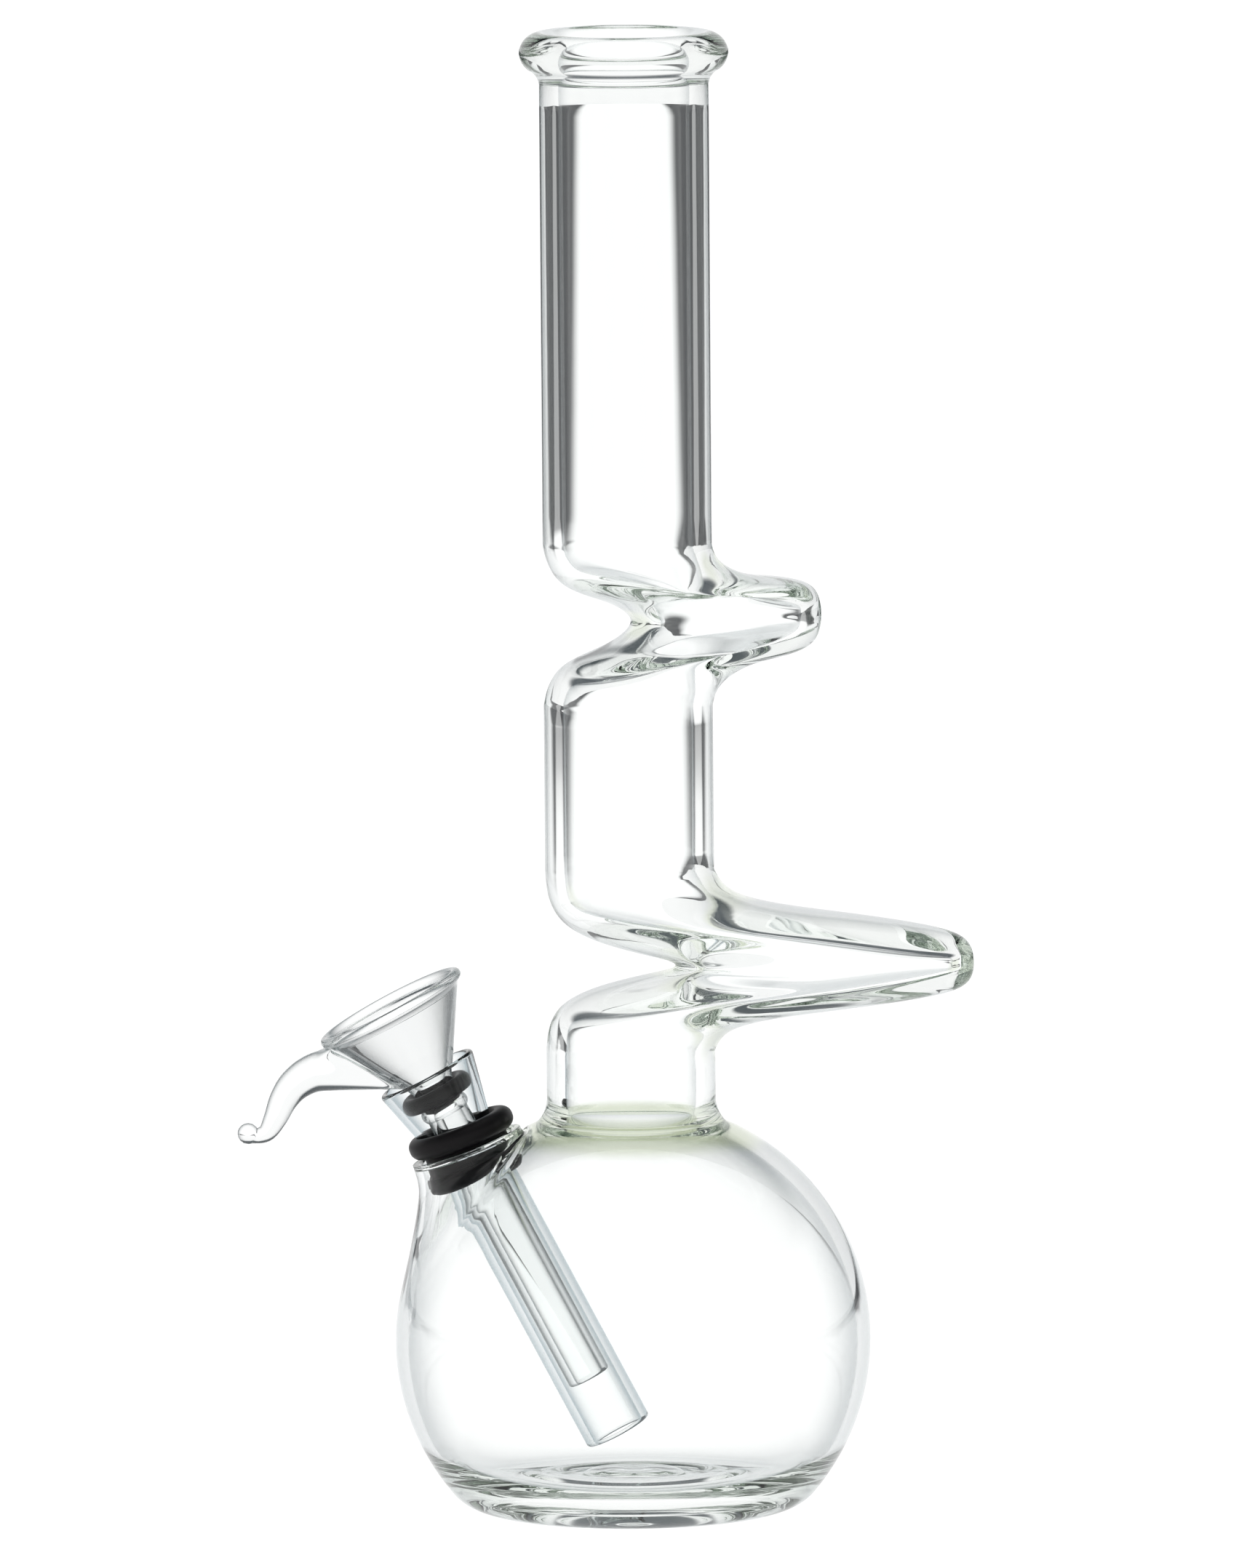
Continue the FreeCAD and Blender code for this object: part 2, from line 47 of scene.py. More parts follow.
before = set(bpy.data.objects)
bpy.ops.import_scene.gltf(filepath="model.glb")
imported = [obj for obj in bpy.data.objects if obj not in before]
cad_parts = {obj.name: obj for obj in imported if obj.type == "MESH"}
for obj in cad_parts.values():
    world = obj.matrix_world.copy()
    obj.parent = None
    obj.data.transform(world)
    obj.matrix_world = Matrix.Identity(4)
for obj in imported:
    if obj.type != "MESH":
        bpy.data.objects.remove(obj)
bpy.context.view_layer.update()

MM = 0.001
ROUND = 112
FINENESS = 8.0
SLIDE_RADIUS = 0.0045
BOWL_RADIUS = 0.0162
RING_SECTION = 0.00165

mouth_low, mouth_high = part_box("mouth_tube")
globe_low, globe_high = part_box("globe")


# ---------------------------------------------------------------- sizes and colours


def length(name, description, default):
    """A length in metres that the sidebar shows."""
    return bpy.props.FloatProperty(
        name=name, description=description, default=default, min=0.0, unit="LENGTH", precision=5
    )


def shade(name, description, default):
    """A colour that the sidebar shows."""
    return bpy.props.FloatVectorProperty(
        name=name, description=description, default=default, subtype="COLOR", min=0.0, max=1.0
    )


class PipeVessel(bpy.types.PropertyGroup):
    tube_radius: length("Tube radius", "Outside of the straight tube", 0.0174)
    tube_wall: length("Tube wall", "Wall of the straight tube", 0.0040)
    total_height: length("Height", "Foot to the top of the lip", mouth_high.z)
    lip_radius: length("Lip radius", "Outside of the rolled lip", mouth_high.x)
    lip_height: length("Lip height", "Rolled lip, top to bottom", 0.0092)
    globe_radius: length("Globe radius", "Outside of the globe", globe_high.x)
    bubble_radius: length("Bubble radius", "Inside of the globe", 0.0463)
    foot_radius: length("Foot radius", "Outer edge of the flat foot ring", 0.0300)
    kink_wall: length("Kink wall", "Glass beside a notch or a tip", 0.0034)
    notch_wall: length("Notch wall", "Glass folded at a notch", 0.0060)
    tip_wall: length("Tip wall", "Glass gathered at a tip", 0.0046)
    tint: shade("Glass tint", "Colour that thick glass takes on", (0.60, 0.68, 0.60))


class PipeStem(bpy.types.PropertyGroup):
    stem_radius: length("Stem radius", "Outside of the downstem", 0.00715)
    stem_bore: length("Stem bore", "Inside of the downstem", 0.0055)
    funnel_radius: length("Funnel radius", "Outside of the funnel mouth", 0.0106)
    slide_radius: length("Slide radius", "Outside of the slide's tube", SLIDE_RADIUS)
    slide_bore: length("Slide bore", "Inside of the slide's tube", 0.0030)
    bowl_radius: length("Bowl radius", "Outside of the bowl's rim", BOWL_RADIUS)
    horn_radius: length("Horn radius", "Horn where it leaves the bowl", 0.0045)
    tint: shade("Glass tint", "Colour that thick glass takes on", (0.66, 0.76, 0.74))


class PipeRubber(bpy.types.PropertyGroup):
    flange_radius: length("Flange radius", "Upper flange of the grommet", 0.0113)
    ring_radius: length("Ring radius", "Middle line of the O-ring", 0.00621)
    ring_section: length("Ring section", "Radius of the O-ring's section", RING_SECTION)
    colour: shade("Rubber colour", "Colour of both rubbers", (0.006, 0.0055, 0.006))


class PipeStudio(bpy.types.PropertyGroup):
    floor_size: length("Floor size", "Side of the square floor", 16.0)
    white: shade("White", "Lit part of floor and walls", (1.0, 1.0, 1.0))
    dim: shade("Dim", "Unlit floor that darkens the glass edges", (0.050, 0.052, 0.055))
    gap: shade("Gap", "Unlit band between the walls and the lamp above", (0.10, 0.115, 0.125))


# ---------------------------------------------------------------- modelling tools


def arc_about(start, finish, radius):
    """Middle and signed turn of the arc between two (r, z) points.

    A positive radius bulges to the left of the way along, a negative one to the right.
    """
    half = Vector(((finish[0] - start[0]) / 2, (finish[1] - start[1]) / 2))
    side = Vector((half.y, -half.x)).normalized() * math.copysign(1, radius)
    depth = math.sqrt(max(radius**2 - half.length_squared, 0))
    middle = Vector(start[:2]) + half + side * depth
    turn = 2 * math.asin(min(half.length / abs(radius), 1))
    return middle, math.copysign(turn, radius)


def draw(mesh, outline, closed, fineness):
    """Draws an outline of (r, z[, arc radius]) corners in the XZ plane, and gives its points.

    Fineness is the most that one step of an arc may turn, in degrees.
    """
    tip = mesh.verts.new((outline[0][0], 0, outline[0][1]))
    chain = [tip]
    targets = outline[1:] + (outline[:1] if closed else [])
    for corner, target in zip(outline, targets):
        if len(corner) == 2:
            tip = bmesh.ops.extrude_vert_indiv(mesh, verts=[tip])["verts"][0]
            tip.co = (target[0], 0, target[1])
            chain.append(tip)
            continue
        middle, turn = arc_about(corner, target, corner[2])
        steps = max(3, math.ceil(math.degrees(abs(turn)) / fineness))
        for _ in range(steps):
            swept = bmesh.ops.spin(
                mesh,
                geom=[tip],
                cent=(middle.x, 0, middle.y),
                axis=(0, 1, 0),
                angle=turn / steps,
                steps=1,
            )
            tip = next(v for v in swept["geom_last"] if isinstance(v, bmesh.types.BMVert))
            chain.append(tip)
        drift = (tip.co - Vector((target[0], 0, target[1]))).length
        if drift > 2e-5:
            raise RuntimeError(f"an arc ends {drift * 1000:.3f} mm off at {target}")
        tip.co = (target[0], 0, target[1])
    return chain


def between(start, finish, rows):
    """Corners that part a straight run into rows, without its finish."""
    share = [i / rows for i in range(rows)]
    return [tuple(a + (b - a) * t for a, b in zip(start, finish)) for t in share]


def stations(outline, fineness):
    """The (r, z) points along an open outline, as stations for rings."""
    mesh = bmesh.new()
    points = [(v.co.x, v.co.z) for v in draw(mesh, outline, False, fineness)]
    mesh.free()
    return points


def whole_turn(mesh):
    """Spins all that is drawn so far once about Z."""
    bmesh.ops.spin(
        mesh,
        geom=mesh.verts[:] + mesh.edges[:],
        cent=(0, 0, 0),
        axis=(0, 0, 1),
        angle=math.tau,
        steps=ROUND,
        use_merge=True,
    )


def turn_outline(mesh, outline):
    """Spins a closed outline of (r, z[, arc radius]) corners about Z."""
    draw(mesh, outline, True, FINENESS)
    bmesh.ops.remove_doubles(mesh, verts=mesh.verts, dist=1e-7)
    whole_turn(mesh)
    bmesh.ops.remove_doubles(mesh, verts=mesh.verts, dist=1e-7)


def ellipse(near, far, half_breadth):
    """The matrix that puts a unit circle across the XZ plane between two (x, z) points."""
    along = Vector((far[0] - near[0], 0, far[1] - near[1])) / 2
    breadth = Vector((0, half_breadth, 0))
    middle = Vector((near[0] + far[0], 0, near[1] + far[1])) / 2
    matrix = Matrix((along, breadth, along.cross(breadth).normalized())).transposed().to_4x4()
    matrix.translation = middle
    return matrix


def hoop(radius, height):
    """The matrix that puts a unit circle level about Z."""
    return ellipse((-radius, height), (radius, height), radius)


def unit_ring(mesh, segments, matrix):
    """Draws a unit circle put through a matrix and gives its edges."""
    verts = bmesh.ops.create_circle(
        mesh, cap_ends=False, radius=1.0, segments=segments, matrix=matrix
    )["verts"]
    return list({e for v in verts for e in v.link_edges})


def cap_off(mesh, loop):
    """Closes a loop of edges with a fan of faces."""
    cap = bmesh.ops.edgeloop_fill(mesh, edges=loop)["faces"]
    bmesh.ops.poke(mesh, faces=cap)


def soften(mesh, verts, passes):
    """Smooths verts, a number of passes over."""
    for _ in range(passes):
        bmesh.ops.smooth_vert(
            mesh, verts=verts, factor=0.5, use_axis_x=True, use_axis_y=True, use_axis_z=True
        )


def climb(mesh, loop, matrices):
    """Draws a loop of edges on through a row of matrices and gives the last loop."""
    for before, after in zip(matrices, matrices[1:]):
        grown = bmesh.ops.extrude_edge_only(mesh, edges=loop)["geom"]
        verts = [item for item in grown if isinstance(item, bmesh.types.BMVert)]
        fresh = set(verts)
        loop = [
            item
            for item in grown
            if isinstance(item, bmesh.types.BMEdge) and fresh.issuperset(item.verts)
        ]
        bmesh.ops.transform(mesh, matrix=after @ before.inverted(), verts=verts)
    return loop


def eased(rows, cuts):
    """Rows of numbers with a smooth run of cuts between each pair; the end rows only steer."""
    smooth = []
    for before, start, finish, after in zip(rows, rows[1:], rows[2:], rows[3:]):
        for step in range(cuts):
            t = step / cuts
            weights = (
                -0.5 * t + t**2 - 0.5 * t**3,
                1 - 2.5 * t**2 + 1.5 * t**3,
                0.5 * t + 2 * t**2 - 1.5 * t**3,
                -0.5 * t**2 + 0.5 * t**3,
            )
            four = zip(before, start, finish, after)
            smooth.append([sum(w * n for w, n in zip(weights, numbers)) for numbers in four])
    smooth.append(list(rows[-2]))
    return smooth


def faired(rows, passes):
    """Rows of numbers with their small waves averaged away; the end rows stay."""
    for _ in range(passes):
        middle = [
            [(a + 2 * b + c) / 4 for a, b, c in zip(*three)]
            for three in zip(rows, rows[1:], rows[2:])
        ]
        rows = [rows[0], *middle, rows[-1]]
    return rows


def placed(name, mesh, material):
    """Makes an object of a mesh and links it to the scene."""
    data = bpy.data.meshes.new(name)
    mesh.to_mesh(data)
    mesh.free()
    data.materials.append(material)
    thing = bpy.data.objects.new(name, data)
    bpy.context.scene.collection.objects.link(thing)
    return thing


def finished(name, mesh, material, body, nodes):
    """Makes the piece, hands it to its body, and has it stand for its CAD nodes."""
    bmesh.ops.recalc_face_normals(mesh, faces=mesh.faces)
    for face in mesh.faces:
        face.smooth = True
    piece = placed(name, mesh, material)
    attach(piece, body)
    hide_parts(*nodes)
    return piece


# ---------------------------------------------------------------- vessel shape

# Stations of a kink from its middle to its end: for the notched side, the share of the way in
# from the tube's wall, the share of the way up and the wall's inward lean in degrees, then the
# same for the side that is drawn out, then how far the breadth has narrowed.
UPPER_STATIONS = [
    (1.00, 0.00, 0, 1.000, 0.00, 0, 1.00),
    (0.93, 0.12, 25, 0.980, 0.20, 30, 0.97),
    (0.72, 0.26, 50, 0.925, 0.35, 55, 0.88),
    (0.42, 0.38, 60, 0.760, 0.46, 80, 0.66),
    (0.17, 0.53, 40, 0.350, 0.54, 75, 0.33),
    (0.05, 0.76, 15, 0.070, 0.76, 45, 0.10),
    (0.00, 1.00, 0, 0.000, 1.00, 0, 0.00),
]
LOWER_STATIONS = [
    (1.00, 0.000, 0, 1.000, 0.00, 0, 1.00),
    (0.94, 0.055, 40, 0.985, 0.20, 35, 0.97),
    (0.68, 0.140, 70, 0.900, 0.35, 65, 0.88),
    (0.36, 0.270, 66, 0.600, 0.49, 82, 0.65),
    (0.12, 0.460, 42, 0.250, 0.61, 76, 0.35),
    (0.02, 0.720, 12, 0.060, 0.76, 45, 0.10),
    (0.00, 1.000, 0, 0.000, 1.00, 0, 0.00),
]
# foot, notch and top heights, depth past the axis, reach, half breadth and turn of each kink
UPPER = (0.1665, 0.1830, 0.1995, 0.0024, 0.0446, 0.0146, 30)
LOWER = (0.0950, 0.1124, 0.1325, 0.0093, 0.0707, 0.0136, 0)
KINK_CUTS = 6

# Low corner, high corner and half breadth of the stem collar's sections, in millimetres.
COLLAR = [
    (-48.9, 38.0, -21.0, 79.27, 24.9),
    (-45.7, 54.2, -21.3, 78.4, 17.0),
    (-44.2, 62.6, -21.9, 78.0, 12.9),
    (-44.0, 67.0, -22.4, 78.4, 11.7),
    (-45.1, 71.2, -23.1, 79.5, 11.5),
]

# How far the collar's inner skin lies inside those sections, and the rows that steer each skin
# out of the globe, in millimetres.
COLLAR_WALLS = (6.6, 4.3, 2.7, 2.1, 1.9)
OUTER_GUIDE = (-47.6, 23.4, -20.4, 79.6, 31.7)
INNER_GUIDE = (-45.9, 28.2, -25.0, 72.2, 23.5)
# The rolled rim of the collar: how far in and how far up each ring is, in millimetres.
RIM_DROP = 0.45
RIM_ROLL = ((0.25, 0.28), (0.75, 0.42), (1.35, 0.36), (1.9, 0.1), (2.15, -0.4), (2.05, -0.9))

HOLE_MARGIN = 0.0056
CAP_CEILING = 0.0802
SKIN_SPLIT = 0.0215
SMOOTH_REACH = 0.0040


def kink_row(sizes, kink, station, end, inside):
    """Near point, far point and half breadth of one section of a kink."""
    _, notch, _, depth, reach, breadth, _ = kink
    notch_in, notch_up, notch_lean, lobe_out, lobe_up, lobe_lean, narrowing = station
    tube = sizes.tube_radius
    near = [-tube + notch_in * (tube + depth), notch + notch_up * (end - notch)]
    far = [tube + lobe_out * (reach - tube), notch + lobe_up * (end - notch)]
    half = tube + narrowing * (breadth - tube)
    if inside:
        wall = sizes.tube_wall + narrowing * (sizes.kink_wall - sizes.tube_wall)
        near_wall = wall + notch_in * (sizes.notch_wall - sizes.kink_wall)
        far_wall = wall + lobe_out * (sizes.tip_wall - sizes.kink_wall)
        way = math.copysign(1, end - notch)
        near[0] += near_wall * math.cos(math.radians(notch_lean))
        near[1] += near_wall * way * math.sin(math.radians(notch_lean))
        far[0] -= far_wall * math.cos(math.radians(lobe_lean))
        far[1] -= far_wall * way * math.sin(math.radians(lobe_lean))
        half -= wall
    return (*near, *far, half)


def kink_rings(sizes, kink, table, inside):
    """Matrices of a kink's rings from its foot to its top."""
    foot, _, top, *_, turn = kink
    past = (0.0, 1.25, 0, 0.0, 1.25, 0, 0.0)
    below = [kink_row(sizes, kink, s, foot, inside) for s in reversed([*table[1:], past])]
    above = [kink_row(sizes, kink, s, top, inside) for s in [*table, past]]
    spin = Matrix.Rotation(math.radians(turn), 4, "Z")
    rows = faired(eased(below + above, KINK_CUTS), 8)
    return [spin @ ellipse(r[:2], r[2:4], r[4]) @ spin.inverted() for r in rows]


def straight(radius, start, finish, rings):
    """Matrices of level rings between two heights, ends left out."""
    heights = [start + (finish - start) * i / (rings + 1) for i in range(1, rings + 1)]
    return [hoop(radius, z) for z in heights]


def vessel_rings(s):
    """Every ring of the vessel, from under its base, up the outside and down the inside.

    Corners are (r, z) or (r, z, radius of the arc that leads on).
    """
    tube, bore = s.tube_radius, s.tube_radius - s.tube_wall
    globe, bubble = s.globe_radius, s.bubble_radius
    centre, bubble_centre = 0.035, 0.0343
    eye = 0.0012
    punt, rise = 0.0245, 0.0036
    flare = 0.0195
    neck_foot = centre + math.sqrt(globe**2 - flare**2)
    neck_start, throat = neck_foot + 0.005, neck_foot + 0.002
    ceiling = bubble_centre + math.sqrt(bubble**2 - (bore + 0.0012) ** 2)
    foot_round = (globe**2 - s.foot_radius**2 - centre**2) / (2 * (globe - centre))
    share = globe / (globe - foot_round)
    tangent = (s.foot_radius * share, centre - (centre - foot_round) * share)
    floor_start = 0.014
    floor = (math.sqrt(bubble**2 - (bubble_centre - floor_start) ** 2), floor_start)
    outside = [
        (eye, rise - 0.0000084, (punt**2 + rise**2) / (2 * rise)),
        (punt, 0.0),
        (s.foot_radius, 0.0, -foot_round),
        (*tangent, -globe),
        (globe, centre, -globe),
        (flare, neck_foot, 0.008),
        (tube, neck_start),
    ]
    top, lip = s.total_height, s.lip_radius
    lip_start = top - s.lip_height
    lip_root, lip_edge = lip_start - 0.0015, top - 0.0046
    rolled = [
        (tube, lip_root, 0.004),
        (lip - 0.0016, lip_start + 0.0016, -0.005),
        (lip, top - 0.0044, -0.0046),
        (lip - 0.0044, top, -0.0046),
        (bore, lip_edge),
    ]
    inside = [
        (bore, throat),
        (bore, ceiling + 0.0016, 0.0030),
        (bore + 0.0012, ceiling, 0.0463),
        (bubble, bubble_centre, bubble),
        (*floor, 0.016),
        (0.0290, 0.0056, 0.012),
        (0.0235, 0.0050, -0.006),
        (0.0190, 0.0064, -0.006),
        (0.0150, 0.0060, 0.010),
        (0.0105, 0.0068, -0.005),
        (0.0070, 0.0079, -0.020),
        (eye, 0.0076),
    ]
    rings = [hoop(*point) for point in stations(outside, 3.0)]
    rings += straight(tube, neck_start, LOWER[0], 3)
    rings += kink_rings(s, LOWER, LOWER_STATIONS, False)
    rings += straight(tube, LOWER[2], UPPER[0], 8)
    rings += kink_rings(s, UPPER, UPPER_STATIONS, False)
    rings += straight(tube, UPPER[2], lip_root, 16)
    rings += [hoop(*point) for point in stations(rolled, 12.0)]
    rings += straight(bore, lip_edge, UPPER[2], 16)
    rings += reversed(kink_rings(s, UPPER, UPPER_STATIONS, True))
    rings += straight(bore, UPPER[0], LOWER[2], 8)
    rings += reversed(kink_rings(s, LOWER, LOWER_STATIONS, True))
    rings += straight(bore, LOWER[0], throat, 3)
    rings += [hoop(*point) for point in stations(inside, 3.0)]
    return rings


def cut_collar_hole(mesh):
    """Slices the cap off both skins of the globe where the stem collar stands."""
    low, high = COLLAR[0][:2], COLLAR[0][2:4]
    centre = Vector(((low[0] + high[0]) / 2, 0, (low[1] + high[1]) / 2)) * MM
    slant = Vector((high[0] - low[0], 0, high[1] - low[1])).normalized()
    outward = Vector((-slant.z, 0, slant.x))
    reach = COLLAR[0][4] * MM + HOLE_MARGIN
    cap = [
        face
        for face in mesh.faces
        if all((v.co - centre).length < reach for v in face.verts)
        and face.calc_center_median().z < CAP_CEILING
    ]
    geometry = {*cap, *(e for f in cap for e in f.edges), *(v for f in cap for v in f.verts)}
    bmesh.ops.bisect_plane(
        mesh,
        geom=list(geometry),
        dist=1e-6,
        plane_co=centre,
        plane_no=outward,
        clear_outer=True,
    )
    rim = [
        e
        for e in mesh.edges
        if e.is_boundary and all(abs((v.co - centre).dot(outward)) < 1e-5 for v in e.verts)
    ]
    outer = [e for e in rim if (e.verts[0].co - centre).length > SKIN_SPLIT]
    inner = [e for e in rim if (e.verts[0].co - centre).length <= SKIN_SPLIT]
    return outer, inner


def collar_rows(walls):
    """Low corner, high corner and half breadth of the collar's sections, drawn in by walls."""
    rows = []
    for inset, (low_x, low_z, high_x, high_z, breadth) in zip(walls, COLLAR):
        size = math.hypot(high_x - low_x, high_z - low_z)
        way = ((high_x - low_x) / size, (high_z - low_z) / size)
        rows.append(
            (
                (low_x + inset * way[0]) * MM,
                (low_z + inset * way[1]) * MM,
                (high_x - inset * way[0]) * MM,
                (high_z - inset * way[1]) * MM,
                (breadth - inset) * MM,
            )
        )
    return rows


def steered(rows):
    """Rows with one more before and after, carried on in line."""
    first = [2 * a - b for a, b in zip(rows[0], rows[1])]
    last = [2 * a - b for a, b in zip(rows[-1], rows[-2])]
    return [first, *rows, last]


def raise_collar(mesh, outer, inner):
    """Draws the stem collar up from the globe's two cut edges and closes it at its rim."""
    outside = steered(collar_rows([0.0] * len(COLLAR)))
    inside = steered(collar_rows(COLLAR_WALLS))
    outside[0] = [number * MM for number in OUTER_GUIDE]
    inside[0] = [number * MM for number in INNER_GUIDE]
    outer_rings = [ellipse(r[:2], r[2:4], r[4]) for r in eased(outside, 8)]
    inner_rings = [ellipse(r[:2], r[2:4], r[4]) for r in eased(inside, 8)]
    rim = outer_rings[-1]
    lift = rim.col[2].to_3d().normalized()
    if lift.z < 0:
        lift = -lift
    half = rim.col[0].to_3d().length
    for inset, up in RIM_ROLL:
        shrink = Matrix.Diagonal((*[1 - inset * MM / half] * 2, 1, 1))
        outer_rings.append(Matrix.Translation(lift * (up - RIM_DROP) * MM) @ rim @ shrink)
    top = climb(mesh, outer, outer_rings)
    bottom = climb(mesh, inner, inner_rings[:-2])
    bmesh.ops.bridge_loops(mesh, edges=top + bottom)
    joins = {v for e in (*outer, *inner) for v in e.verts}
    nearest = KDTree(len(joins))
    for index, vert in enumerate(joins):
        nearest.insert(vert.co, index)
    nearest.balance()
    near = [v for v in mesh.verts if v.co.x < 0 and nearest.find(v.co)[2] < SMOOTH_REACH]
    soften(mesh, near, 2)


class PIPE_OT_vessel(bpy.types.Operator):
    """Blow the vessel: globe, kinked tube, rolled lip and stem collar in one skin"""

    bl_idname = "pipe.vessel"
    bl_label = "Vessel"

    def execute(self, context):
        sizes = context.scene.pipe_vessel
        rings = vessel_rings(sizes)
        mesh = bmesh.new()
        first = unit_ring(mesh, ROUND, rings[0])
        last = climb(mesh, first, rings)
        cap_off(mesh, first)
        cap_off(mesh, last)
        bmesh.ops.remove_doubles(mesh, verts=mesh.verts, dist=1e-6)
        outer, inner = cut_collar_hole(mesh)
        raise_collar(mesh, outer, inner)
        nodes = ("mouth_tube", "upper_kink", "middle_tube", "lower_kink")
        nodes += ("neck", "globe", "stem_collar")
        # The last two numbers are the colour of the painted edge shade, then where it comes in and
        # where it is full.
        glass = clear_glass(
            "vessel_glass", sizes.tint, 0.06, (0.24, 0.28, 0.30), (0.38, 0.97)
        )
        finished("vessel", mesh, glass, "vessel", nodes)
        return {"FINISHED"}


# ---------------------------------------------------------------- stem, slide and rubbers

STEM_FOOT = Vector((-0.0031, 0, 0.0159))
STEM_LEAN = 27.7
GROMMET_MIDDLE = Vector((-0.0337, 0, 0.0742))
GROMMET_LEAN = 20.5
SLIDE_START, CONE_START, BOWL_TOP = 0.0129, 0.0812, 0.1006
RING_PLACE = 0.0794
BEAD = 0.0011
CONE_SLOPE = (BOWL_RADIUS - BEAD - SLIDE_RADIUS) / (BOWL_TOP - 2 * BEAD - CONE_START)
CONE_ROWS = 14


def leaning(middle, degrees):
    """The matrix that stands a piece at middle with its Z leaning towards -X."""
    return Matrix.Translation(middle) @ Matrix.Rotation(math.radians(-degrees), 4, "Y")


STEM = leaning(STEM_FOOT, STEM_LEAN)

HORN_FREE = 16

# Middle line of the horn in millimetres, from the bowl's wall to its curl, and the share of the
# way from its root's radius to its tip's.
HORN = [
    (-47.5, 90.2, 0.30),
    (-53.0, 91.0, 0.08),
    (-58.4, 91.5, 0.00),
    (-62.6, 91.2, 0.06),
    (-66.2, 90.2, 0.20),
    (-69.4, 88.0, 0.36),
    (-71.6, 85.0, 0.52),
    (-73.2, 81.4, 0.68),
    (-75.0, 78.4, 0.86),
    (-77.4, 77.4, 1.00),
]


class PIPE_OT_grommet(bpy.types.Operator):
    """Mould the grommet that holds the downstem in the collar"""

    bl_idname = "pipe.grommet"
    bl_label = "Grommet"

    def execute(self, context):
        flange = context.scene.pipe_rubber.flange_radius
        mesh = bmesh.new()
        turn_outline(
            mesh,
            [
                (0.0074, -0.0070),
                (0.0080, -0.0070, -0.0020),
                (0.0100, -0.0050),
                (0.0099, -0.0033, -0.0010),
                (0.0089, -0.0024),
                (0.0089, 0.0018),
                (flange - 0.0020, 0.0018, -0.0020),
                (flange, 0.0038),
                (flange, 0.0042, -0.0020),
                (flange - 0.0020, 0.0062),
                (0.0082, 0.0062),
                (0.0074, 0.0000),
            ],
        )
        bmesh.ops.transform(
            mesh, matrix=leaning(GROMMET_MIDDLE, GROMMET_LEAN), verts=mesh.verts
        )
        rubber = black_rubber("grommet_rubber", context.scene.pipe_rubber.colour, 0.42)
        finished("grommet", mesh, rubber, "vessel", ["grommet"])
        return {"FINISHED"}


class PIPE_OT_downstem(bpy.types.Operator):
    """Draw the downstem with its funnel mouth and fire-polished ends"""

    bl_idname = "pipe.downstem"
    bl_label = "Downstem"

    def execute(self, context):
        sizes = context.scene.pipe_stem
        outer, bore, funnel = sizes.stem_radius, sizes.stem_bore, sizes.funnel_radius
        wall = outer - bore
        mesh = bmesh.new()
        turn_outline(
            mesh,
            [
                (bore, wall / 2, -wall / 2 * 1.001),
                (bore + wall / 2, 0.0, -wall / 2 * 1.001),
                (outer, wall / 2),
                (outer, 0.0665, 0.040),
                (outer + 0.00075, 0.0719),
                (funnel, 0.0843 - 0.00075, -0.00075),
                (funnel - 0.00075, 0.0843, -0.00075),
                (funnel - 0.0015, 0.0843 - 0.00075),
                (bore + 0.00055, 0.0709, -0.040),
                (bore, 0.0655),
            ],
        )
        bmesh.ops.transform(mesh, matrix=STEM, verts=mesh.verts)
        # The last two numbers are the colour of the painted edge shade, then where it comes in and
        # where it is full.
        glass = clear_glass("stem_glass", sizes.tint, 0.03, (0.22, 0.30, 0.34), (0.06, 0.80))
        finished("downstem", mesh, glass, "downstem", ["downstem"])
        return {"FINISHED"}


class PIPE_OT_o_ring(bpy.types.Operator):
    """Mould the O-ring that seats the slide in the funnel"""

    bl_idname = "pipe.o_ring"
    bl_label = "O-ring"

    def execute(self, context):
        sizes = context.scene.pipe_rubber
        mesh = bmesh.new()
        place = leaning(Vector((sizes.ring_radius, 0, RING_PLACE)), 0)
        upright = Matrix.Rotation(math.radians(90), 4, "X")
        bmesh.ops.create_circle(
            mesh, cap_ends=False, radius=sizes.ring_section, segments=32, matrix=place @ upright
        )
        whole_turn(mesh)
        bmesh.ops.transform(mesh, matrix=STEM, verts=mesh.verts)
        rubber = black_rubber("ring_rubber", sizes.colour, 0.36)
        finished("o_ring", mesh, rubber, "o_ring", ["o_ring"])
        return {"FINISHED"}


def across(x, z, way, radius):
    """The matrix that puts a unit circle at (x, z) square to the way (x, z)."""
    return ellipse(
        (x + way[1] * radius, z - way[0] * radius),
        (x - way[1] * radius, z + way[0] * radius),
        radius,
    )


def horn_rings(root, tip, ball):
    """Matrices of the horn's rings in the room, from where it is free to the end of its ball."""
    rows = eased(steered([(x * MM, z * MM, share) for x, z, share in HORN]), 5)
    rings = []
    for before, (x, z, share), after in zip(rows, rows[1:], rows[2:]):
        way = Vector((after[0] - before[0], after[1] - before[1])).normalized()
        rings.append(across(x, z, way, root + share * (tip - root)))
    middle, way = Vector((-0.0789, 0.0781)), Vector((-0.906, 0.423))
    for along in (-0.72, -0.45, 0.0, 0.4, 0.7, 0.88, 0.97, 0.997):
        spot = middle + way * along * ball
        rings.append(across(spot.x, spot.y, way, ball * math.sqrt(1 - along**2)))
    return rings


